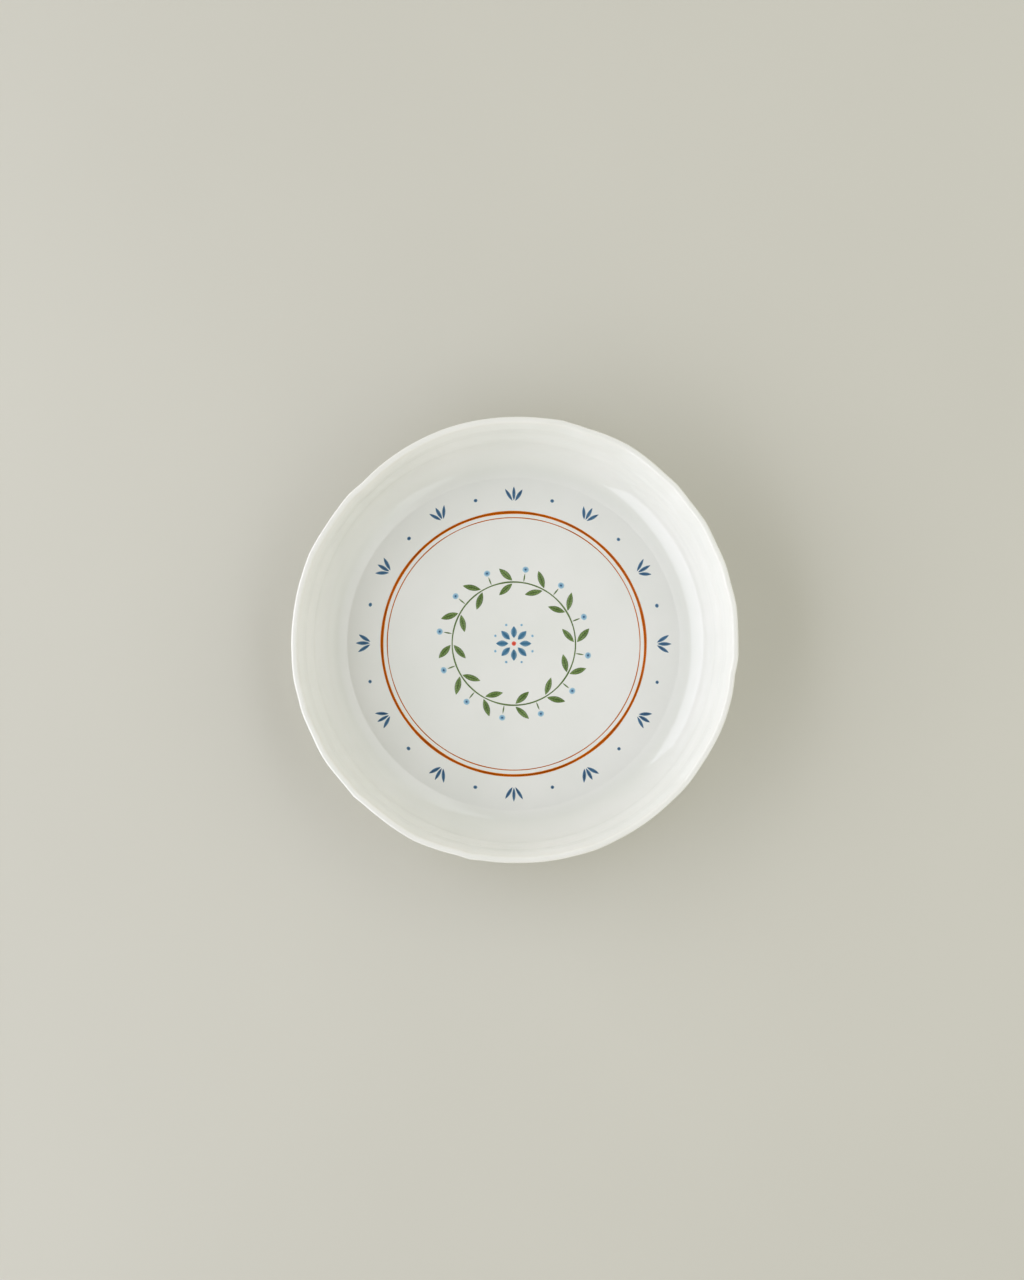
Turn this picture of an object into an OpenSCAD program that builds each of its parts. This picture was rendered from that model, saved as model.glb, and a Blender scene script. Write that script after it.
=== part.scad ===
// Deep plate in glazed stoneware: a flat well, a wide curve up into the wall, a hand-finished rim that
// is not quite round, and a bare foot ring. The decoration is fired enamel on the flat of the well.
// The origin is at the middle of the foot ring, on the table, with +Z up.

/* [Plate] */
// Diameter over the rim, on average round the plate
plate_d = 210; // [190:1:240]
// Height of the rim above the table, on average round the plate
plate_h = 36; // [32:0.5:48]
// Diameter of the flat of the well
well_d = 154; // [148:1:164]
// Radius of the curve from the well up into the wall, less where it would leave no wall
well_curve = 19; // [10:0.5:20]
// Thickness of the floor and of the bend above it, glaze included
floor_t = 5; // [4:0.1:7]
// Thickness of the wall at the lip, glaze included
lip_t = 3.2; // [2.4:0.1:4.5]

/* [Rim] */
// Farthest that the hand-finished rim wanders in or out
rim_wander = 1.4; // [0:0.1:2.5]
// Swells that the thrower's fingers left up the inside of the wall
swell_count = 2; // [1:1:2]
// Depth of the groove between two swells
swell_depth = 0.35; // [0:0.05:0.8]

/* [Foot] */
// Diameter over the foot ring
foot_d = 136; // [110:1:142]
// Width of the foot ring where it stands
foot_w = 5; // [3:0.1:8]
// Height of the glazed underside above the table
foot_h = 3; // [2:0.1:6]
// Bevel on both edges of the standing face
foot_bevel = 0.6; // [0.2:0.1:1]

/* [Glaze] */
// Thickness of the glaze
glaze_t = 0.35; // [0.2:0.05:0.6]
// Height above the table where the glaze was wiped off the foot
glaze_line = 1.2; // [1.1:0.1:1.8]

/* [Enamel] */
// Thickness of one layer of fired enamel
enamel_t = 0.06; // [0.04:0.01:0.15]
// White left between neighbouring strokes
stroke_gap = 0.35; // [0.2:0.05:0.6]

/* [Banding] */
// Width of the rust band
band_w = 1.4; // [0.8:0.1:2]
// Width of the hairline inside the band
hairline_w = 0.5; // [0.3:0.1:1]
// White between the band and the hairline
hairline_gap = 1.6; // [1:0.1:2.5]

/* [Border] */
// Sprays of brush strokes round the border
spray_count = 12; // [8:1:16]
// White between the tip of each spray and the edge of the well's flat
border_gap = 1.3; // [0.5:0.1:4]
// White between the rust band and the foot of each spray
spray_gap = 3.8; // [2:0.1:6]
// Length of a brush stroke
stroke_len = 7; // [5:0.1:7.5]
// Width of a brush stroke at its middle
stroke_w = 1.7; // [1:0.1:2]
// Angle between the strokes of a spray
stroke_fan = 32; // [26:1:40]
// Diameter of the dot between two sprays
border_dot_d = 1.8; // [1:0.1:3]

/* [Wreath] */
// Diameter of the wreath's stem
wreath_d = 59; // [54:1:66]
// Width of the stem and of the berry stalks
stem_w = 0.7; // [0.4:0.1:1]
// Pairs of leaves round the wreath
leaf_pairs = 12; // [8:1:14]
// Length of a leaf
leaf_len = 9; // [6:0.1:10]
// Width of a leaf at its middle
leaf_w = 2.9; // [1.5:0.1:3.4]
// Angle of a leaf to the stem
leaf_lean = 42; // [34:1:52]
// Width of the rib down a leaf
rib_w = 0.35; // [0.2:0.05:0.5]
// Length of a berry's stalk
stalk_len = 4.2; // [3:0.1:6]
// Diameter of a berry
berry_d = 3; // [2:0.1:4]
// Diameter of the eye on a berry
berry_eye_d = 1; // [0.6:0.1:1.6]

/* [Rosette] */
// Petals of the rosette
petal_count = 8; // [6:1:8]
// Length of a petal
petal_len = 6; // [4:0.1:7]
// Width of a petal at its middle
petal_w = 2.8; // [1.6:0.1:2.9]
// Diameter of the eye of the rosette
rosette_eye_d = 2.2; // [1.4:0.1:3]
// White between the eye and the petals
petal_gap = 1.5; // [1.2:0.1:2.5]
// Diameter of the dots round the rosette
rosette_dot_d = 1.3; // [0.8:0.1:2]

/* [Hidden] */
$fn = 64;

// Steps round the plate, and along each stretch of its section
steps_round = 88;
curve_steps = 6;
wall_steps = 5;
lip_steps = 6;
outside_steps = 2;

// The rim's wander as broad waves: how many round the plate, share of rim_wander, angle of a crest
rim_waves = [[2, 0.33, 47], [3, 0.41, 73]];
// Corners and dents that fingers left on it: angle, share of rim_wander, angle from its middle to its end
rim_corners = [[9, 0.3, 6], [20, 0.26, 5], [32, 0.33, 6], [44, 0.28, 5], [60, 0.5, 11], [76, -0.21, 9],
               [109, 0.32, 18], [135, -0.25, 7], [157, 0.43, 7], [165, 0.21, 9], [190, 0.21, 6],
               [213, 0.18, 7], [243, 0.53, 11], [270, -0.14, 12], [291, 0.21, 6], [320, 0.21, 6],
               [338, 0.28, 12], [351, -0.28, 5]];

// Places in the section, as [radius, height], on the glazed surface
well_r = well_d / 2;
foot_r = foot_d / 2;
foot_in_r = foot_r - foot_w;
floor_z = foot_h + floor_t;
lip_r = lip_t / 2;
curve_r = min(well_curve, 0.8 * (plate_d / 2 - lip_t - well_r));
bend_r = curve_r + floor_t;
bend_mid = [well_r, floor_z + curve_r];
lip_mid = [plate_d / 2 - lip_r, plate_h - lip_r];

// Slopes of the two faces of the wall, each a line tangent to the bend and to the lip
wall_run = lip_mid - bend_mid;
wall_rise = atan2(wall_run.y, wall_run.x);
inside_slope = wall_rise + asin((curve_r + lip_r) / norm(wall_run));
outside_slope = wall_rise + asin((bend_r - lip_r) / norm(wall_run));

// Height where the curve ends and the straight wall begins
curve_top = bend_mid.y - curve_r * cos(inside_slope);

// Places in the enamel pattern, the border and the band from the edge of the well inwards
stroke_start = stroke_gap + stroke_w / 2;
spray_r = well_r - border_gap - stroke_len - stroke_start;
band_d = 2 * (spray_r - spray_gap) - band_w;
wreath_r = wreath_d / 2;
leaf_start = stem_w / 2 + stroke_gap;
berry_r = wreath_r + stem_w / 2 + stalk_len + stroke_gap + berry_d / 2;
berry_lead = 0.7;
rib_share = 0.74;
petal_start = rosette_eye_d / 2 + petal_gap;
rosette_dot_r = petal_start + petal_len + rosette_dot_d / 2 + stroke_gap;

clay_colour = [0.86, 0.83, 0.77];
glaze_colour = [0.92, 0.92, 0.88];
rust_colour = [0.70, 0.30, 0.06];
navy_colour = [0.17, 0.27, 0.45];
petal_colour = [0.21, 0.38, 0.55];
berry_colour = [0.45, 0.62, 0.80];
leaf_colour = [0.36, 0.50, 0.26];
rib_colour = [0.21, 0.32, 0.17];
red_colour = [0.78, 0.22, 0.16];

// Points along an arc about c, from angle a0 to a1
function arc(c, r, a0, a1, steps) =
    [for (i = [0:steps]) let(a = a0 + (a1 - a0) * i / steps) c + r * [cos(a), sin(a)]];

// Points along a line after its start, up to and including its end
function line(p, q, steps) = [for (i = [1:steps]) p + (q - p) * i / steps];

// Height of the thrower's swells at a share of the way up the inside of the wall
function swell(share) = swell_depth * (1 - cos(360 * swell_count * share)) / 2;

// The inside wall between its two ends, with the swells standing off it
function inside_wall(p, q) =
    [for (i = [1:wall_steps - 1])
        p + (q - p) * i / wall_steps + swell(i / wall_steps) * [-sin(inside_slope), cos(inside_slope)]];

// The plate's section from the well's edge over the lip to the foot, sunk below the glazed surface
function section(sunk) =
    let(curve = arc(bend_mid, curve_r + sunk, -90, inside_slope - 90, curve_steps),
        lip = arc(lip_mid, lip_r - sunk, inside_slope + 90, outside_slope - 90, lip_steps),
        bend = arc(bend_mid, bend_r - sunk, outside_slope - 90, -90, curve_steps))
    concat(curve, inside_wall(curve[curve_steps], lip[0]), lip,
           line(lip[lip_steps], bend[0], outside_steps),
           [for (i = [1:curve_steps]) bend[i]],
           [[foot_r + glaze_t - sunk, foot_h + sunk]]);

function reversed(list) = [for (i = [len(list) - 1:-1:0]) list[i]];

function total(list) = list * [for (item = list) 1];

// How far the rim stands off a true circle at an angle, and how much of that reaches a height
function corner(t) = t < 1 ? (1 - t) * (1 - t) * (1 + 2 * t) : 0;
function turn_between(a, b) = abs((a - b + 540) % 360 - 180);
function wander(a) =
    rim_wander * (total([for (w = rim_waves) w[1] * cos(w[0] * (a - w[2]))])
                  + total([for (c = rim_corners) c[1] * corner(turn_between(a, c[0]) / c[2])]));
function wander_share(z) =
    let(t = min(max((z - curve_top) / (lip_mid.y - curve_top), 0), 1)) t * t * (3 - 2 * t);

// A point of the section carried round to an angle, leaning with the wall as the rim wanders
function turned_point(p, a) =
    let(off = wander(a) * wander_share(p.y), r = p.x + off * sin(inside_slope))
    [r * cos(a), r * sin(a), p.y - off * cos(inside_slope)];

// Turns a section that starts and ends on the axis into a closed solid. The section is outwards up to
// back_from and runs back under itself after that, where the other diagonal matches the face it covers.
module turned(top_z, rings, bottom_z, back_from) {
    count = len(rings);
    points = concat([[0, 0, top_z], [0, 0, bottom_z]],
        [for (p = rings) for (j = [0:steps_round - 1]) turned_point(p, 360 * j / steps_round)]);
    at = function(i, j) 2 + i * steps_round + j % steps_round;
    faces = concat(
        [for (j = [0:steps_round - 1]) [0, at(0, j + 1), at(0, j)]],
        [for (i = [0:count - 2]) for (j = [0:steps_round - 1])
            let(a = at(i, j), b = at(i, j + 1), c = at(i + 1, j + 1), d = at(i + 1, j))
            each i < back_from ? [[a, b, c], [a, c, d]] : [[a, b, d], [b, c, d]]],
        [for (j = [0:steps_round - 1]) [1, at(count - 1, j), at(count - 1, j + 1)]]);
    polyhedron(points, faces, convexity = 6);
}

// Hollow under the plate inside the foot ring, up to a ceiling, with the bevel on the ring's inner edge
module foot_hollow(ceiling) {
    rotate_extrude()
        polygon([[0, -foot_bevel], [foot_in_r + 2 * foot_bevel, -foot_bevel],
                 [foot_in_r, foot_bevel], [foot_in_r, ceiling], [0, ceiling]]);
}

// Fired clay: well, wall and foot ring in one piece
module ceramic_body() {
    clay = section(glaze_t);
    color(clay_colour) difference() {
        turned(floor_z - glaze_t,
               concat(clay, [[foot_r, foot_bevel], [foot_r - foot_bevel, 0]]), 0, len(clay) + 2);
        foot_hollow(foot_h + glaze_t);
    }
}

// Glaze over the inside, the lip and the outside, down to its edge on the foot
module glaze_coat() {
    glazed = section(0);
    clay = reversed(section(glaze_t));
    color(glaze_colour)
        turned(floor_z, concat(glazed, [[foot_r + glaze_t, glaze_line], [foot_r, glaze_line]], clay),
               floor_z - glaze_t, len(glazed) + 1);
}

// Glaze in the hollow of the foot, turned down its wall to the same line
module underside_glaze() {
    color(glaze_colour) rotate_extrude()
        polygon([[0, foot_h], [foot_in_r - glaze_t, foot_h], [foot_in_r - glaze_t, glaze_line],
                 [foot_in_r, glaze_line], [foot_in_r, foot_h + glaze_t], [0, foot_h + glaze_t]]);
}

// One layer of enamel on the flat of the well, or on the layers already there
module enamel(layers_below = 0) {
    translate([0, 0, floor_z + layers_below * enamel_t]) linear_extrude(enamel_t) children();
}

// Copies round the plate, turned by a share of the pitch
module around(count, lead = 0) {
    for (i = [0:count - 1]) rotate(360 * (i + lead) / count) children();
}

module ring(d, w) {
    difference() {
        circle(d = d + w);
        circle(d = d - w);
    }
}

// Pointed oval that starts at the origin and runs along +X
module blade(len, w) {
    r = (len * len + w * w) / (4 * w);
    intersection() {
        translate([len / 2, r - w / 2]) circle(r);
        translate([len / 2, w / 2 - r]) circle(r);
    }
}

// Places for the two leaves of each pair, one each side of the stem
module leaf_places() {
    around(leaf_pairs)
        for (side = [-1, 1])
            translate([wreath_r, 0]) rotate(90 + side * leaf_lean)
                translate([leaf_start / sin(leaf_lean), 0]) children();
}

module rust_band() {
    color(rust_colour) enamel() ring(band_d, band_w);
}

module rust_hairline() {
    color(rust_colour) enamel() ring(band_d - band_w - 2 * hairline_gap - hairline_w, hairline_w);
}

// Sprays of three brush strokes, fanned from a point outside the rust band
module border_strokes() {
    color(navy_colour) enamel() around(spray_count)
        translate([spray_r, 0]) for (k = [-1:1]) rotate(k * stroke_fan)
            translate([stroke_start, 0]) blade(stroke_len, stroke_w);
}

module border_dots() {
    color(navy_colour) enamel() around(spray_count, 0.5)
        translate([spray_r + stroke_len / 2, 0]) circle(d = border_dot_d);
}

// Round stem with a straight stalk for each berry
module wreath_stem() {
    color(leaf_colour) enamel() {
        ring(wreath_d, stem_w);
        around(leaf_pairs, berry_lead)
            translate([wreath_r, -stem_w / 2]) square([stem_w / 2 + stalk_len, stem_w]);
    }
}

module wreath_leaves() {
    color(leaf_colour) enamel() leaf_places() blade(leaf_len, leaf_w);
}

// Dark rib printed over each leaf
module leaf_ribs() {
    rib_len = leaf_len * rib_share;
    color(rib_colour) enamel(1) leaf_places()
        translate([(leaf_len - rib_len) / 2, -rib_w / 2]) square([rib_len, rib_w]);
}

module berries() {
    color(berry_colour) enamel() around(leaf_pairs, berry_lead) translate([berry_r, 0]) circle(d = berry_d);
}

module berry_eyes() {
    color(navy_colour) enamel(1)
        around(leaf_pairs, berry_lead) translate([berry_r, 0]) circle(d = berry_eye_d);
}

module rosette_petals() {
    color(petal_colour) enamel() around(petal_count)
        translate([petal_start, 0]) blade(petal_len, petal_w);
}

module rosette_dots() {
    color(berry_colour) enamel() around(petal_count, 0.5)
        translate([rosette_dot_r, 0]) circle(d = rosette_dot_d);
}

module rosette_eye() {
    color(red_colour) enamel() circle(d = rosette_eye_d);
}

ceramic_body();
glaze_coat();
underside_glaze();
rust_band();
rust_hairline();
border_strokes();
border_dots();
wreath_stem();
wreath_leaves();
leaf_ribs();
berries();
berry_eyes();
rosette_petals();
rosette_dots();
rosette_eye();
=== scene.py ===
import math
import random

import bmesh
import bpy
from mathutils import Matrix, Vector


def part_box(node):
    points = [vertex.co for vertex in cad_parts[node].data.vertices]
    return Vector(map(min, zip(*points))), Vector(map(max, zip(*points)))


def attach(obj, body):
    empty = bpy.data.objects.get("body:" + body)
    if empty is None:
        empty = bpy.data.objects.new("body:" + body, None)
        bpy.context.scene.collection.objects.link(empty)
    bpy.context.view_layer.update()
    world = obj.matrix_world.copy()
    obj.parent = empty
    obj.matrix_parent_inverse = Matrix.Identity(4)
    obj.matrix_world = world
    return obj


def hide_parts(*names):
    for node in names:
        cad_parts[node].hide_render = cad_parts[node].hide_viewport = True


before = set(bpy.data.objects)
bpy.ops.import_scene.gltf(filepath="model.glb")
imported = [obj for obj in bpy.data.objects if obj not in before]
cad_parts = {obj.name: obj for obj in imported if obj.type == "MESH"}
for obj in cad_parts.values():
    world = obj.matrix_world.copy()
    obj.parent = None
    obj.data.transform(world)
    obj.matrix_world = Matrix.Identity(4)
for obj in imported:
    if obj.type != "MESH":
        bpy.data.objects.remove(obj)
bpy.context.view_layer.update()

# Clay body: the plate itself, one piece of stoneware that was thrown, turned and fired to a warm
# off-white. Its rim was finished by hand, so it wanders a little in and out. The clay shows only on the
# foot ring, where the glaze was wiped off so that the plate would not stick in the kiln.
mm = 0.001
plate_r = 105 * mm
plate_h = 36 * mm
well_r = 77 * mm
well_curve = 19 * mm
edge_curve = 4 * mm
edge_slope = math.radians(15)
floor_t = 5 * mm
lip_r = 1.6 * mm
lip_square = 3.5
foot_r = 68 * mm
foot_round = 0.6 * mm
glaze_t = 0.35 * mm
floor_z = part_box("rust_band")[0].z
hollow_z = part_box("underside_glaze")[1].z
foot_in_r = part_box("underside_glaze")[1].x
glaze_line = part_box("glaze_coat")[0].z
foot_h = floor_z - floor_t

bend_r = well_curve + floor_t
bend_mid = Vector((well_r, 0, floor_z + well_curve))
lip_mid = Vector((plate_r - lip_r, 0, plate_h - lip_r))
wall_run = lip_mid - bend_mid
wall_rise = math.atan2(wall_run.z, wall_run.x)
inside_slope = wall_rise + math.asin((well_curve + lip_r) / wall_run.length)
outside_slope = wall_rise + math.asin((bend_r - lip_r) / wall_run.length)
curve_top = bend_mid.z - well_curve * math.cos(inside_slope)
edge_mid = bend_mid + (well_curve - edge_curve) * Vector((math.tan(edge_slope / 2), 0, -1))
edge_normal = Vector((math.sin(edge_slope), 0, -math.cos(edge_slope)))
inside_normal = Vector((-math.sin(inside_slope), 0, math.cos(inside_slope)))
outside_normal = Vector((math.sin(outside_slope), 0, -math.cos(outside_slope)))

swell_count = 2
swell_depth = 0.35 * mm
finger_lines = 7
finger_line_depth = 0.018 * mm

floor_steps = 3
edge_steps = 3
curve_steps = 10
wall_steps = 16
lip_steps = 12
outside_steps = 8
foot_steps = 3
foot_round_steps = 5
standing_steps = 4
hollow_steps = 6
clay_slices = 240
merge = 0.001 * mm

# Low waves along the top of the lip: how many go round, their height in millimetres and where one crests.
lip_waves = ((9, 0.16, 12), (14, 0.11, 3), (23, 0.07, 8), (37, 0.04, 5))

# The rim's wander in and out: broad waves by count, share and crest, then corners and finer nicks by
# angle, share and reach. Shares are of the wander, and angles are in degrees from +X towards +Y.
rim_wander = 1.4 * mm
rim_waves = ((2, 0.33, 47), (3, 0.41, 73))
rim_corners = (
    (9, 0.3, 6), (20, 0.26, 5), (32, 0.33, 6), (44, 0.28, 5), (60, 0.5, 11), (76, -0.21, 9),
    (109, 0.32, 18), (135, -0.25, 7), (157, 0.43, 7), (165, 0.21, 9), (190, 0.21, 6), (213, 0.18, 7),
    (243, 0.53, 11), (270, -0.14, 12), (291, 0.21, 6), (320, 0.21, 6), (338, 0.28, 12), (351, -0.28, 5),
)
rim_nicks = (
    (78, 0.45, 6), (134, -0.25, 14), (139, 0.35, 5), (199, 0.2, 5), (211, 0.15, 6), (224, 0.3, 3),
    (258, 0.3, 3), (355, 0.2, 4),
)
crispness = 1.2


def line_to(bm, vert, end, steps):
    """Draws a straight stretch of a section from a vertex, and returns its new vertices."""
    start = vert.co.copy()
    made = []
    for step in range(1, steps + 1):
        vert = bmesh.ops.extrude_vert_indiv(bm, verts=[vert])["verts"][0]
        vert.co = start.lerp(end, step / steps)
        made.append(vert)
    return made


def arc_about(bm, vert, middle, turn, steps):
    """Draws a round stretch from a vertex, clockwise for a positive turn, and returns its last vertex."""
    made = bmesh.ops.spin(bm, geom=[vert], cent=middle, axis=(0, 1, 0), angle=turn, steps=steps)
    return [item for item in made["geom_last"] if isinstance(item, bmesh.types.BMVert)][0]


def draw_section(bm, sunk, fine):
    """Draws the plate's section from its axis over the lip to the foot, sunk below the glazed surface.

    The wall has the thrower's swells and finger lines, and the lip is a little square on its outer side.
    """
    middle = bm.verts.new((0, 0, floor_z - sunk))
    well_edge = line_to(bm, middle, Vector((edge_mid.x, 0, floor_z - sunk)), floor_steps * fine)[-1]
    edge_end = arc_about(bm, well_edge, edge_mid, -edge_slope, edge_steps * fine)
    curve_start = line_to(bm, edge_end, bend_mid + (well_curve + sunk) * edge_normal, fine)[-1]
    curve_end = arc_about(bm, curve_start, bend_mid, edge_slope - inside_slope, curve_steps * fine)
    wall = line_to(bm, curve_end, lip_mid + (lip_r - sunk) * inside_normal, wall_steps * fine)
    for step, vert in enumerate(wall, 1):
        share = step / len(wall)
        swell = swell_depth * (1 - math.cos(math.tau * swell_count * share)) / 2
        fade = math.sin(math.pi * share)
        ripple = finger_line_depth * fade * math.sin(math.tau * finger_lines * share)
        vert.co += (swell + ripple) * inside_normal
    over_lip = math.pi + inside_slope - outside_slope
    lip_end = arc_about(bm, wall[-1], lip_mid, over_lip, lip_steps * fine)
    for vert in bm.verts:
        out = (vert.co - lip_mid) / (lip_r - sunk)
        on_lip = abs(out.length - 1) < 0.01
        if on_lip and out.x > 0 and out.z > 0:
            fuller = (out.x ** lip_square + out.z ** lip_square) ** (1 / lip_square)
            vert.co = lip_mid + out * ((lip_r - sunk) / fuller)
    outside_end = bend_mid + (bend_r - sunk) * outside_normal
    bend_start = line_to(bm, lip_end, outside_end, outside_steps * fine)[-1]
    return arc_about(bm, bend_start, bend_mid, outside_slope, outside_steps * fine)


def turn_round(bm, steps):
    """Spins a section about the plate's axis into a closed solid, one slice first and then copies of it."""
    slices = 8
    middle = {"cent": (0, 0, 0), "axis": (0, 0, 1)}
    sweep = math.tau / slices
    bmesh.ops.spin(bm, geom=bm.verts[:] + bm.edges[:], angle=sweep, steps=steps // slices, **middle)
    whole = bm.verts[:] + bm.edges[:] + bm.faces[:]
    bmesh.ops.spin(bm, geom=whole, angle=math.tau - sweep, steps=slices - 1, use_duplicate=True, **middle)
    bmesh.ops.remove_doubles(bm, verts=bm.verts[:], dist=merge)
    bmesh.ops.recalc_face_normals(bm, faces=bm.faces[:])


def rim_offset(angle):
    """How far the rim stands off a true circle at an angle in degrees."""
    total = 0
    for count, share, crest in rim_waves:
        total += share * math.cos(math.radians(count * (angle - crest)))
    for corner, share, reach in rim_corners + rim_nicks:
        away = abs((angle - corner + 540) % 360 - 180) / reach
        total += crispness * share * max(1 - away, 0)
    return rim_wander * total


def wander_rim(bm):
    """Leans the upper wall in and out with the rim's wander, and gives the lip its low waves."""
    for vert in bm.verts:
        height = min(max((vert.co.z - curve_top) / (lip_mid.z - curve_top), 0), 1)
        if height == 0:
            continue
        angle = math.atan2(vert.co.y, vert.co.x)
        off = rim_offset(math.degrees(angle)) * height * height * (3 - 2 * height)
        lean = off * math.sin(inside_slope)
        waves = [high * math.cos(count * (angle - math.radians(crest))) for count, high, crest in lip_waves]
        rise = sum(waves) * mm * height ** 4 - off * math.cos(inside_slope)
        vert.co += Vector((lean * math.cos(angle), lean * math.sin(angle), rise))


def keep_piece(name, bm, material, node):
    """Makes an object of a mesh that stands for a node of the part, and lets it ride with the plate."""
    mesh = bpy.data.meshes.new(name)
    bm.to_mesh(mesh)
    bm.free()
    mesh.shade_smooth()
    mesh.materials.append(material)
    piece = bpy.data.objects.new(name, mesh)
    bpy.context.scene.collection.objects.link(piece)
    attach(piece, "root")
    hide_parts(node)


def seen(red, green, blue):
    """A colour as the eye sees it, 0 to 255, as the shader takes it."""
    def level(value):
        value = value / 255
        return value / 12.92 if value <= 0.04045 else ((value + 0.055) / 1.055) ** 2.4
    return (level(red), level(green), level(blue), 1)


def new_material(name):
    """A material with its shader and the piece's own coordinates."""
    material = bpy.data.materials.new(name)
    material.use_nodes = True
    tree = material.node_tree
    shader = tree.nodes["Principled BSDF"]
    place = tree.nodes.new("ShaderNodeTexCoord").outputs["Object"]
    return material, tree, shader, place


def noise(tree, place, scale, detail=2):
    """Cloudy noise, with its scale in clouds per metre."""
    made = tree.nodes.new("ShaderNodeTexNoise")
    made.inputs["Scale"].default_value = scale
    made.inputs["Detail"].default_value = detail
    tree.links.new(place, made.inputs["Vector"])
    return made.outputs["Fac"]


def spread(tree, value, low, high, to_low=0, to_high=1):
    """A value between low and high, spread over another range."""
    made = tree.nodes.new("ShaderNodeMapRange")
    made.inputs["From Min"].default_value = low
    made.inputs["From Max"].default_value = high
    made.inputs["To Min"].default_value = to_low
    made.inputs["To Max"].default_value = to_high
    tree.links.new(value, made.inputs["Value"])
    return made.outputs["Result"]


def compute(tree, operation, first, second):
    """One sum on two values, each a socket or a number."""
    made = tree.nodes.new("ShaderNodeMath")
    made.operation = operation
    for socket, value in zip(made.inputs, (first, second)):
        if isinstance(value, bpy.types.NodeSocket):
            tree.links.new(value, socket)
        else:
            socket.default_value = value
    return made.outputs["Value"]


def tint(tree, factor, first, second):
    """The first colour turning into the second, each a socket or a colour."""
    made = tree.nodes.new("ShaderNodeMix")
    made.data_type = "RGBA"
    tree.links.new(factor, made.inputs["Factor"])
    for socket, colour in ((made.inputs["A"], first), (made.inputs["B"], second)):
        if isinstance(colour, bpy.types.NodeSocket):
            tree.links.new(colour, socket)
        else:
            socket.default_value = colour
    return made.outputs["Result"]


def relief(tree, shader, *layers):
    """Bumps the shader's normal with pairs of a height and its depth in metres."""
    below = None
    for height, depth in layers:
        made = tree.nodes.new("ShaderNodeBump")
        made.inputs["Distance"].default_value = depth
        tree.links.new(height, made.inputs["Height"])
        if below:
            tree.links.new(below, made.inputs["Normal"])
        below = made.outputs["Normal"]
    tree.links.new(below, shader.inputs["Normal"])


def axis_distance(tree, place):
    """Distance from the plate's axis, and height above the table."""
    parts = tree.nodes.new("ShaderNodeSeparateXYZ")
    tree.links.new(place, parts.inputs["Vector"])
    squares = [compute(tree, "MULTIPLY", parts.outputs[axis], parts.outputs[axis]) for axis in "XY"]
    return compute(tree, "SQRT", compute(tree, "ADD", *squares), 0), parts.outputs["Z"]


def bare_clay():
    """Unglazed stoneware: matt, sandy, with fine turning lines."""
    pale_clay = seen(226, 217, 200)
    warm_clay = seen(214, 203, 184)
    brown_sand = seen(166, 142, 112)
    turning_line = 0.45 * mm
    material, tree, shader, place = new_material("bare_stoneware")
    away, _ = axis_distance(tree, place)
    sand = noise(tree, place, scale=1800, detail=4)
    cloud = noise(tree, place, scale=60)
    turning = compute(tree, "SINE", compute(tree, "MULTIPLY", away, math.tau / turning_line), 0)
    colour = tint(tree, spread(tree, cloud, 0.35, 0.65), pale_clay, warm_clay)
    colour = tint(tree, spread(tree, sand, 0.62, 0.72, 0, 0.6), colour, brown_sand)
    tree.links.new(colour, shader.inputs["Base Color"])
    tree.links.new(spread(tree, sand, 0.3, 0.7, 0.75, 0.95), shader.inputs["Roughness"])
    relief(tree, shader, (turning, 0.015 * mm), (sand, 0.08 * mm))
    return material


clay_mesh = bmesh.new()
quarter = math.pi / 2
outer_mid = (foot_r - foot_round, 0, foot_round)
inner_mid = (foot_in_r + foot_round, 0, foot_round)
clay_underside = draw_section(clay_mesh, glaze_t, 1)
foot_root = line_to(clay_mesh, clay_underside, Vector((foot_r, 0, foot_h + glaze_t)), foot_steps)[-1]
foot_side = line_to(clay_mesh, foot_root, Vector((foot_r, 0, foot_round)), foot_steps)[-1]
outer_edge = arc_about(clay_mesh, foot_side, outer_mid, quarter, foot_round_steps)
standing = line_to(clay_mesh, outer_edge, Vector((foot_in_r + foot_round, 0, 0)), standing_steps)[-1]
inner_edge = arc_about(clay_mesh, standing, inner_mid, quarter, foot_round_steps)
hollow_edge = line_to(clay_mesh, inner_edge, Vector((foot_in_r, 0, hollow_z)), foot_steps)[-1]
line_to(clay_mesh, hollow_edge, Vector((0, 0, hollow_z)), hollow_steps)
turn_round(clay_mesh, clay_slices)
wander_rim(clay_mesh)
keep_piece("clay_body", clay_mesh, bare_clay(), "ceramic_body")

# Glaze: a skin of glossy white glass over the inside, the lip and the outside. It was poured and
# dipped on, ran a little thinner on the lip and thicker in the curve of the well, and ends in a soft
# bead where it was wiped off the foot.
root_round = 0.9 * mm
bead_steps = 4
glaze_slices = 360
glass_ior = 1.52


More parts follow.
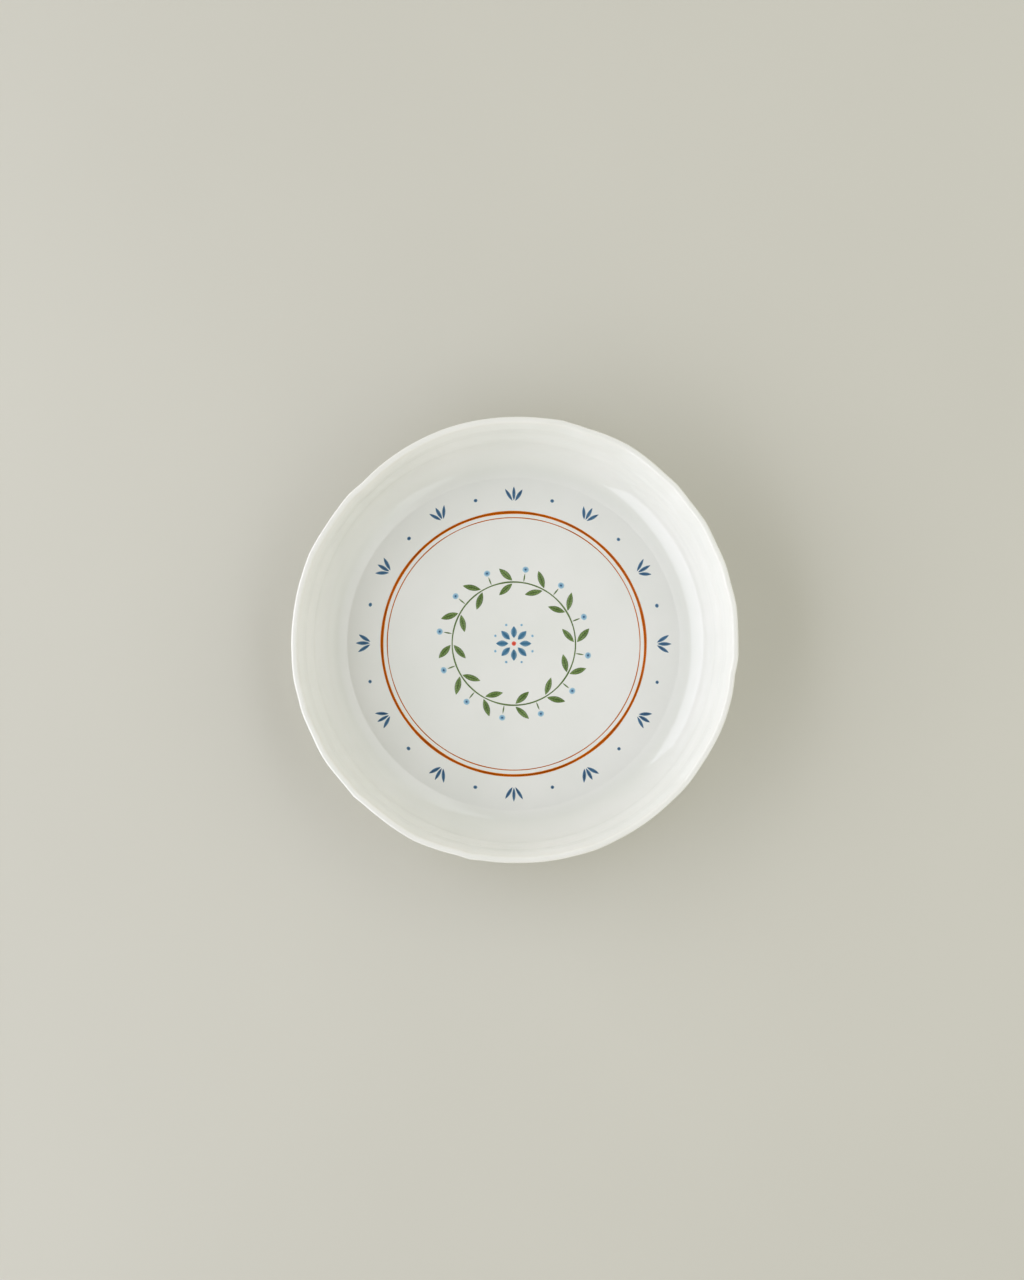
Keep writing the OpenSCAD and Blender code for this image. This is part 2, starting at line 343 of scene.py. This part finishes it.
def white_glaze():
    """Glossy glaze: soft clouds, a few iron specks, a warmer lip with a painted highlight on it, and pooled
    in the curve.
    """
    soft_white = seen(224, 225, 219)
    cloud_white = seen(229, 229, 224)
    pool_grey = seen(217, 219, 211)
    thin_glaze_and_highlight = seen(236, 234, 227)
    iron_brown = seen(150, 138, 118)
    pool_top = floor_z + 6 * mm
    pool_full = floor_z + 1 * mm
    pool_edge = floor_z + 1.5 * mm
    lip_lighter_from = plate_h - 3 * mm
    speck_cells = 130
    plain_share = 0.86
    material, tree, shader, place = new_material("white_glaze")
    _, height = axis_distance(tree, place)
    cloud = noise(tree, place, scale=28, detail=3)
    dimple = noise(tree, place, scale=160)
    colour = tint(tree, spread(tree, cloud, 0.3, 0.7), soft_white, cloud_white)
    pooled = spread(tree, height, pool_top, pool_full)
    curve = compute(tree, "MULTIPLY", pooled, spread(tree, height, floor_z, pool_edge, 0, 0.5))
    colour = tint(tree, curve, colour, pool_grey)
    # Painted highlight: the top 3 mm of the lip turn lighter and a little warmer. The warmth is thinner
    # glaze; the lightening stands in for light that the lip catches.
    colour = tint(tree, spread(tree, height, lip_lighter_from, plate_h, 0, 0.4), colour, thin_glaze_and_highlight)
    cells = tree.nodes.new("ShaderNodeTexVoronoi")
    cells.inputs["Scale"].default_value = speck_cells
    tree.links.new(place, cells.inputs["Vector"])
    dice = tree.nodes.new("ShaderNodeSeparateColor")
    tree.links.new(cells.outputs["Color"], dice.inputs["Color"])
    chosen = compute(tree, "GREATER_THAN", dice.outputs["Red"], plain_share)
    dot = spread(tree, cells.outputs["Distance"], 0.035, 0.02, 0, 0.45)
    colour = tint(tree, compute(tree, "MULTIPLY", chosen, dot), colour, iron_brown)
    tree.links.new(colour, shader.inputs["Base Color"])
    tree.links.new(spread(tree, cloud, 0.3, 0.7, 0.05, 0.09), shader.inputs["Roughness"])
    shader.inputs["IOR"].default_value = glass_ior
    relief(tree, shader, (cloud, 0.25 * mm), (dimple, 0.02 * mm))
    return material


glaze = white_glaze()
glaze_mesh = bmesh.new()
root_mid = (foot_r + glaze_t + root_round, 0, foot_h - root_round)
bead_z = glaze_line + glaze_t
glaze_underside = draw_section(glaze_mesh, 0, 2)
root_point = Vector((foot_r + glaze_t + root_round, 0, foot_h))
root_start = line_to(glaze_mesh, glaze_underside, root_point, foot_steps)[-1]
root_end = arc_about(glaze_mesh, root_start, root_mid, -quarter, foot_round_steps)
bead_start = line_to(glaze_mesh, root_end, Vector((foot_r + glaze_t, 0, bead_z)), 1)[-1]
arc_about(glaze_mesh, bead_start, (foot_r, 0, bead_z), quarter, bead_steps)
clay_side = draw_section(glaze_mesh, glaze_t, 1)
clay_root = line_to(glaze_mesh, clay_side, Vector((foot_r, 0, foot_h + glaze_t)), foot_steps)[-1]
line_to(glaze_mesh, clay_root, Vector((foot_r, 0, glaze_line)), foot_steps)
bmesh.ops.remove_doubles(glaze_mesh, verts=glaze_mesh.verts[:], dist=merge)
turn_round(glaze_mesh, glaze_slices)
wander_rim(glaze_mesh)
keep_piece("plate_glaze", glaze_mesh, glaze, "glaze_coat")

# Glaze in the hollow of the foot: the same glass, poured in and wiped at the same height, so that the
# bare ring parts it from the glaze outside.
hollow_mesh = bmesh.new()
middle = hollow_mesh.verts.new((0, 0, foot_h))
corner_mid = Vector((foot_in_r - glaze_t - root_round, 0, foot_h - root_round))
ceiling = line_to(hollow_mesh, middle, corner_mid + Vector((0, 0, root_round)), hollow_steps)[-1]
corner_end = arc_about(hollow_mesh, ceiling, corner_mid, quarter, foot_round_steps)
bead_start = line_to(hollow_mesh, corner_end, Vector((foot_in_r - glaze_t, 0, bead_z)), 1)[-1]
bead_end = arc_about(hollow_mesh, bead_start, (foot_in_r, 0, bead_z), -quarter, bead_steps)
clay_corner = line_to(hollow_mesh, bead_end, Vector((foot_in_r, 0, hollow_z)), 2)[-1]
line_to(hollow_mesh, clay_corner, Vector((0, 0, hollow_z)), hollow_steps)
turn_round(hollow_mesh, clay_slices)
keep_piece("hollow_glaze", hollow_mesh, glaze, "underside_glaze")

# Rust banding: a band and a hairline of iron-red enamel, put on with a brush while the plate turned on
# a wheel and fired on. The colour lies thin and orange at its edges and deeper along its middle.
band_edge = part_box("rust_band")[1].x
band_w = 1.4 * mm
hairline_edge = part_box("rust_hairline")[1].x
hairline_w = 0.5 * mm
ring_slices = 360
film_edge = 0.3
enamel_grain = 3500


def round_figure(inner, outer, rings, steps):
    """A flat ring or dot of colour about the origin, with depth of colour from its edges to its middle."""
    bm = bmesh.new()
    depth = bm.verts.layers.float.new("depth")
    start = bm.verts.new((inner, 0, 0))
    row = [start] + line_to(bm, start, Vector((outer, 0, 0)), rings)
    for vert in row:
        across = (vert.co.x - inner) / (outer - inner)
        vert[depth] = 1 - across ** 2 if inner == 0 else 1 - (2 * across - 1) ** 2
    bmesh.ops.spin(
        bm, geom=bm.verts[:] + bm.edges[:], cent=(0, 0, 0), axis=(0, 0, 1),
        angle=math.tau, steps=steps, use_merge=True,
    )
    bmesh.ops.remove_doubles(bm, verts=bm.verts[:], dist=merge)
    return bm


def raise_film(bm, node):
    """Gives flat figures the thickness of an enamel film, rounded off towards their edges."""
    low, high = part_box(node)
    depth = bm.verts.layers.float["depth"]
    made = bmesh.ops.extrude_face_region(bm, geom=bm.faces[:], use_keep_orig=True)
    for vert in bm.verts:
        vert.co.z = low.z
    for vert in made["geom"]:
        if isinstance(vert, bmesh.types.BMVert):
            share = film_edge + (1 - film_edge) * math.sqrt(max(vert[depth], 0))
            vert.co.z = low.z + (high.z - low.z) * share
    bmesh.ops.recalc_face_normals(bm, faces=bm.faces[:])
    return bm


def unsteady(bm, middle, amount, waves):
    """Lets a ring's stroke swell and thin as a brush does on the wheel."""
    for vert in bm.verts:
        angle = math.atan2(vert.co.y, vert.co.x)
        away = vert.co.xy.length
        swell = sum(math.sin(count * angle + count * count) for count in waves) / len(waves)
        factor = (middle + (away - middle) * (1 + amount * swell)) / away
        vert.co.x *= factor
        vert.co.y *= factor


def enamel(name, thin, full, deep, blotch):
    """Fired enamel: thin at its edges, full in its middle, deeper where more colour settled."""
    material, tree, shader, place = new_material(name)
    attribute = tree.nodes.new("ShaderNodeAttribute")
    attribute.attribute_name = "depth"
    settled = noise(tree, place, scale=blotch, detail=3)
    grain = noise(tree, place, scale=enamel_grain)
    coat = compute(tree, "ADD", attribute.outputs["Fac"], spread(tree, grain, 0.3, 0.7, -0.15, 0.15))
    colour = tint(tree, spread(tree, settled, 0.38, 0.64), full, deep)
    colour = tint(tree, spread(tree, coat, 0.2, 0.95), thin, colour)
    tree.links.new(colour, shader.inputs["Base Color"])
    tree.links.new(spread(tree, grain, 0.3, 0.7, 0.06, 0.12), shader.inputs["Roughness"])
    shader.inputs["IOR"].default_value = glass_ior
    relief(tree, shader, (grain, 0.01 * mm))
    return material


rust = enamel("rust_enamel", seen(212, 136, 0), seen(168, 62, 0), seen(142, 44, 0), 90)
band = round_figure(band_edge - band_w, band_edge, rings=6, steps=ring_slices)
unsteady(band, band_edge - band_w / 2, amount=0.16, waves=(5, 8, 13))
keep_piece("band_film", raise_film(band, "rust_band"), rust, "rust_band")
hairline = round_figure(hairline_edge - hairline_w, hairline_edge, rings=4, steps=ring_slices)
unsteady(hairline, hairline_edge - hairline_w / 2, amount=0.25, waves=(4, 9, 15))
keep_piece("hairline_film", raise_film(hairline, "rust_hairline"), rust, "rust_hairline")

# Border: sprays of three short brush strokes, with a dot between each two, in cobalt blue. Each stroke
# was pressed and lifted, so it is widest in its middle, and no two hold the same load of colour.
spray_count = 12
stroke_len = 7 * mm
stroke_w = 1.7 * mm
stroke_fan = math.radians(32)
clear = 0.35 * mm
stroke_start = clear + stroke_w / 2
spray_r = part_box("border_strokes")[1].x - stroke_len - stroke_start
border_dot_r = 0.9 * mm
hand = random.Random(5)


def blade_figure(length, width):
    """A flat pointed oval along +X from the origin, with its places along and across on a UV map."""
    bm = bmesh.new()
    bmesh.ops.create_grid(bm, x_segments=14, y_segments=4, size=0.5)
    depth = bm.verts.layers.float.new("depth")
    figure = bm.loops.layers.uv.new("figure")
    for face in bm.faces:
        for loop in face.loops:
            loop[figure].uv = loop.vert.co.xy + Vector((0.5, 0.5))
    for vert in bm.verts:
        forward = vert.co.x + 0.5
        across = vert.co.y * 2
        bulge = 1 - (2 * forward - 1) ** 2
        vert[depth] = (1 - across ** 2) * min(1, 3 * bulge)
        vert.co = Vector((forward * length, across * width / 2 * bulge, 0))
    bmesh.ops.remove_doubles(bm, verts=bm.verts[:], dist=merge)
    return bm


def copies(figure, places):
    """A mesh with a copy of a flat figure at each of the places, and frees the figure."""
    bm = bmesh.new()
    single = bpy.data.meshes.new("figure")
    figure.to_mesh(single)
    figure.free()
    for place in places:
        before = len(bm.verts)
        bm.from_mesh(single)
        bm.verts.ensure_lookup_table()
        bmesh.ops.transform(bm, matrix=place, verts=bm.verts[before:])
    bpy.data.meshes.remove(single)
    return bm


def about(angle):
    """A turn about the plate's axis."""
    return Matrix.Rotation(angle, 4, "Z")


def along(distance):
    """A step along +X."""
    return Matrix.Translation((distance, 0, 0))


def by_hand(amount):
    """A small change of size, as a hand makes it."""
    return Matrix.Diagonal((1 + hand.uniform(-amount, 0), 1 + hand.uniform(-amount, amount), 1, 1))


cobalt = enamel("cobalt_enamel", seen(106, 140, 162), seen(56, 94, 128), seen(36, 68, 102), 170)
stroke_places = []
for spray in range(spray_count):
    for side in (-1, 0, 1):
        stroke_places.append(
            about(math.tau * spray / spray_count) @ along(spray_r) @ about(side * stroke_fan)
            @ along(stroke_start) @ by_hand(0.08)
        )
strokes = copies(blade_figure(stroke_len, stroke_w), stroke_places)
keep_piece("stroke_films", raise_film(strokes, "border_strokes"), cobalt, "border_strokes")
dot_places = [
    about(math.tau * (spray + 0.5) / spray_count) @ along(spray_r + stroke_len / 2) @ by_hand(0.1)
    for spray in range(spray_count)
]
dots = copies(round_figure(0, border_dot_r, rings=4, steps=20), dot_places)
keep_piece("dot_films", raise_film(dots, "border_dots"), cobalt, "border_dots")

# Wreath: a round stem with stalks and pairs of leaves in copper green. The leaves are a lighter wash
# with side veins, and a dark rib was printed over each of them.
wreath_r = 29.5 * mm
stem_w = 0.7 * mm
leaf_pairs = 12
leaf_len = 9 * mm
leaf_w = 2.9 * mm
leaf_lean = math.radians(42)
leaf_start = (clear + stem_w / 2) / math.sin(leaf_lean)
vein_count = 7
vein_lean = 0.28
rib_w = 0.35 * mm
rib_len = leaf_len * 0.74
stalk_len = 4.2 * mm
berry_lead = 0.7


def leaf_enamel():
    """Leaf green: a wash with darker edges and side veins that run forward from the rib."""
    light_wash = seen(122, 146, 88)
    full_wash = seen(92, 118, 58)
    vein_green = seen(70, 92, 44)
    edge_green = seen(64, 88, 44)
    material, tree, shader, place = new_material("leaf_enamel")
    figure = tree.nodes.new("ShaderNodeUVMap")
    figure.uv_map = "figure"
    parts = tree.nodes.new("ShaderNodeSeparateXYZ")
    tree.links.new(figure.outputs["UV"], parts.inputs["Vector"])
    off_rib = compute(tree, "ABSOLUTE", compute(tree, "SUBTRACT", parts.outputs["Y"], 0.5), 0)
    forward = compute(tree, "SUBTRACT", parts.outputs["X"], compute(tree, "MULTIPLY", off_rib, vein_lean))
    veins = compute(tree, "SINE", compute(tree, "MULTIPLY", forward, math.tau * vein_count), 0)
    settled = noise(tree, place, scale=300, detail=3)
    grain = noise(tree, place, scale=enamel_grain)
    colour = tint(tree, spread(tree, settled, 0.35, 0.65), light_wash, full_wash)
    colour = tint(tree, spread(tree, veins, 0.35, 0.95, 0, 0.7), colour, vein_green)
    colour = tint(tree, spread(tree, off_rib, 0.36, 0.48, 0, 0.8), colour, edge_green)
    tree.links.new(colour, shader.inputs["Base Color"])
    tree.links.new(spread(tree, grain, 0.3, 0.7, 0.06, 0.12), shader.inputs["Roughness"])
    shader.inputs["IOR"].default_value = glass_ior
    relief(tree, shader, (grain, 0.01 * mm))
    return material


leaf_places = []
for pair in range(leaf_pairs):
    for side in (-1, 1):
        leaf_places.append(
            about(math.tau * pair / leaf_pairs) @ along(wreath_r) @ about(math.pi / 2 + side * leaf_lean)
            @ along(leaf_start) @ by_hand(0.06)
        )
leaves = copies(blade_figure(leaf_len, leaf_w), leaf_places)
leaf_green = leaf_enamel()
keep_piece("leaf_films", raise_film(leaves, "wreath_leaves"), leaf_green, "wreath_leaves")
rib_places = [place @ along((leaf_len - rib_len) / 2) for place in leaf_places]
ribs = copies(blade_figure(rib_len, rib_w), rib_places)
dark_green = enamel("rib_enamel", seen(68, 90, 48), seen(54, 74, 36), seen(42, 60, 30), 300)
keep_piece("rib_films", raise_film(ribs, "leaf_ribs"), dark_green, "leaf_ribs")

stem_green = enamel("stem_enamel", seen(122, 142, 92), seen(88, 110, 60), seen(68, 90, 46), 120)
stem = round_figure(wreath_r - stem_w / 2, wreath_r + stem_w / 2, rings=4, steps=240)
unsteady(stem, wreath_r, amount=0.2, waves=(6, 11))
stalk_mesh = bpy.data.meshes.new("stalks")
stalks = copies(blade_figure(stalk_len, stem_w), [
    about(math.tau * (pair + berry_lead) / leaf_pairs) @ along(wreath_r + stem_w / 2)
    for pair in range(leaf_pairs)
])
stalks.to_mesh(stalk_mesh)
stalks.free()
stem.from_mesh(stalk_mesh)
keep_piece("stem_film", raise_film(stem, "wreath_stem"), stem_green, "wreath_stem")

# Berries: round drops of light blue on the ends of the stalks, each with a dark blue eye dabbed on it
# when it was dry.
berry_r = 1.5 * mm
berry_eye_r = 0.5 * mm
stalk_end = wreath_r + stem_w / 2 + stalk_len
berry_ring = stalk_end + clear + berry_r
berry_places = [
    about(math.tau * (pair + berry_lead) / leaf_pairs) @ along(berry_ring) @ by_hand(0.08)
    for pair in range(leaf_pairs)
]
light_blue = enamel("berry_enamel", seen(166, 198, 212), seen(118, 164, 192), seen(92, 142, 176), 500)
berries = copies(round_figure(0, berry_r, rings=5, steps=28), berry_places)
keep_piece("berry_films", raise_film(berries, "berries"), light_blue, "berries")
eye_blue = enamel("berry_eye_enamel", seen(80, 114, 146), seen(46, 74, 108), seen(34, 58, 88), 500)
eyes = copies(round_figure(0, berry_eye_r, rings=3, steps=16), berry_places)
keep_piece("berry_eye_films", raise_film(eyes, "berry_eyes"), eye_blue, "berry_eyes")

# Rosette: eight petals of steel blue round a red eye, with light blue dots between their tips. It marks
# the middle of the well, where the decorator set the plate on the wheel.
petal_count = 8
petal_len = 6 * mm
petal_w = 2.8 * mm
rosette_eye_r = 1.1 * mm
petal_gap = 1.5 * mm
petal_start = rosette_eye_r + petal_gap
rosette_dot_r = 0.65 * mm
rosette_dot_ring = petal_start + petal_len + rosette_dot_r + clear
steel_blue = enamel("petal_enamel", seen(116, 154, 176), seen(64, 114, 146), seen(46, 92, 122), 260)
petals = copies(blade_figure(petal_len, petal_w), [
    about(math.tau * petal / petal_count) @ along(petal_start) @ by_hand(0.06)
    for petal in range(petal_count)
])
petal_films = raise_film(petals, "rosette_petals")
keep_piece("petal_films", petal_films, steel_blue, "rosette_petals")
ring_dots = copies(round_figure(0, rosette_dot_r, rings=3, steps=18), [
    about(math.tau * (petal + 0.5) / petal_count) @ along(rosette_dot_ring) @ by_hand(0.1)
    for petal in range(petal_count)
])
ring_dot_films = raise_film(ring_dots, "rosette_dots")
keep_piece("rosette_dot_films", ring_dot_films, light_blue, "rosette_dots")
red = enamel("red_enamel", seen(226, 116, 96), seen(212, 74, 56), seen(196, 56, 42), 600)
rosette_eye = round_figure(0, rosette_eye_r, rings=4, steps=28)
keep_piece("rosette_eye_film", raise_film(rosette_eye, "rosette_eye"), red, "rosette_eye")

# Table: a plain pale surface that the plate stands on. A wide window lights it softly from the left, a
# white card with a brighter strip above it fills the shaded side from the right, and the warm room, darker
# overhead, gives the rest.
table_size = 20
daylight = (0.83, 0.85, 1.0)
card_light = (0.89, 0.915, 1.0)
room_colour = (1.0, 0.975, 0.82, 1)
room_level = 0.86
overhead_level = 0.1


def pale_table():
    """A matt pale surface, all but even."""
    darker = seen(198, 196, 185)
    lighter = seen(202, 200, 189)
    material, tree, shader, place = new_material("pale_table")
    cloud = noise(tree, place, scale=3, detail=3)
    colour = tint(tree, spread(tree, cloud, 0.3, 0.7), darker, lighter)
    tree.links.new(colour, shader.inputs["Base Color"])
    shader.inputs["Roughness"].default_value = 0.9
    return material


table_top = bmesh.new()
bmesh.ops.create_grid(table_top, x_segments=1, y_segments=1, size=table_size / 2)
table_mesh = bpy.data.meshes.new("table")
table_top.to_mesh(table_mesh)
table_top.free()
table_mesh.materials.append(pale_table())
table = bpy.data.objects.new("table", table_mesh)
bpy.context.scene.collection.objects.link(table)


def soft_light(name, azimuth, elevation, distance, width, height, watts, colour):
    """A wide flat light that faces the plate, with its direction in degrees and its sizes in metres."""
    data = bpy.data.lights.new(name, "AREA")
    data.shape = "RECTANGLE"
    data.size = width
    data.size_y = height
    data.energy = watts
    data.color = colour
    lamp = bpy.data.objects.new(name, data)
    flat = math.cos(math.radians(elevation))
    away = Vector((
        flat * math.cos(math.radians(azimuth)),
        flat * math.sin(math.radians(azimuth)),
        math.sin(math.radians(elevation)),
    ))
    lamp.location = away * distance
    lamp.rotation_euler = away.to_track_quat("Z", "Y").to_euler()
    bpy.context.scene.collection.objects.link(lamp)


soft_light(
    "window", azimuth=187, elevation=27, distance=1.1, width=2.2, height=0.95, watts=15, colour=daylight,
)
soft_light(
    "card", azimuth=8, elevation=47, distance=0.9, width=1.6, height=0.9, watts=3, colour=card_light,
)
soft_light(
    "strip", azimuth=8, elevation=66, distance=0.9, width=1.6, height=0.35, watts=1.5, colour=card_light,
)

room = bpy.data.worlds.new("room")
room.use_nodes = True
room_light = room.node_tree.nodes["Background"]
room_light.inputs["Color"].default_value = room_colour
upward = room.node_tree.nodes.new("ShaderNodeTexCoord").outputs["Generated"]
upward_parts = room.node_tree.nodes.new("ShaderNodeSeparateXYZ")
room.node_tree.links.new(upward, upward_parts.inputs["Vector"])
level = spread(room.node_tree, upward_parts.outputs["Z"], 0.5, 0.95, room_level, overhead_level)
room.node_tree.links.new(level, room_light.inputs["Strength"])
bpy.context.scene.world = room

# Camera: almost straight above the plate, leaning a little towards the viewer and to the left, as the
# photograph was taken. The rim's middle and its radius without the wander are in the photograph's pixels.
photo_h = 1280
photo_mid = (512, 640)
rim_mid_px = (516.5, 639.5)
rim_px = 224.1
lens = 85
sensor = 36
lean_left = math.radians(2.46)
lean_near = math.radians(3.93)

px_per_m = rim_px / plate_r
aim = Vector((
    (photo_mid[0] - rim_mid_px[0]) / px_per_m,
    (rim_mid_px[1] - photo_mid[1]) / px_per_m,
    plate_h,
))
back = Vector((-math.tan(lean_left), -math.tan(lean_near), 1)).normalized()
right = Vector((0, 1, 0)).cross(back).normalized()
camera_data = bpy.data.cameras.new("camera")
camera_data.lens = lens
camera_data.sensor_width = sensor
camera = bpy.data.objects.new("camera", camera_data)
camera.location = aim + back * (lens / sensor * photo_h / px_per_m)
camera.rotation_euler = Matrix((right, back.cross(right), back)).transposed().to_euler()
bpy.context.scene.collection.objects.link(camera)
bpy.context.scene.camera = camera
bpy.context.scene.view_settings.view_transform = "Standard"
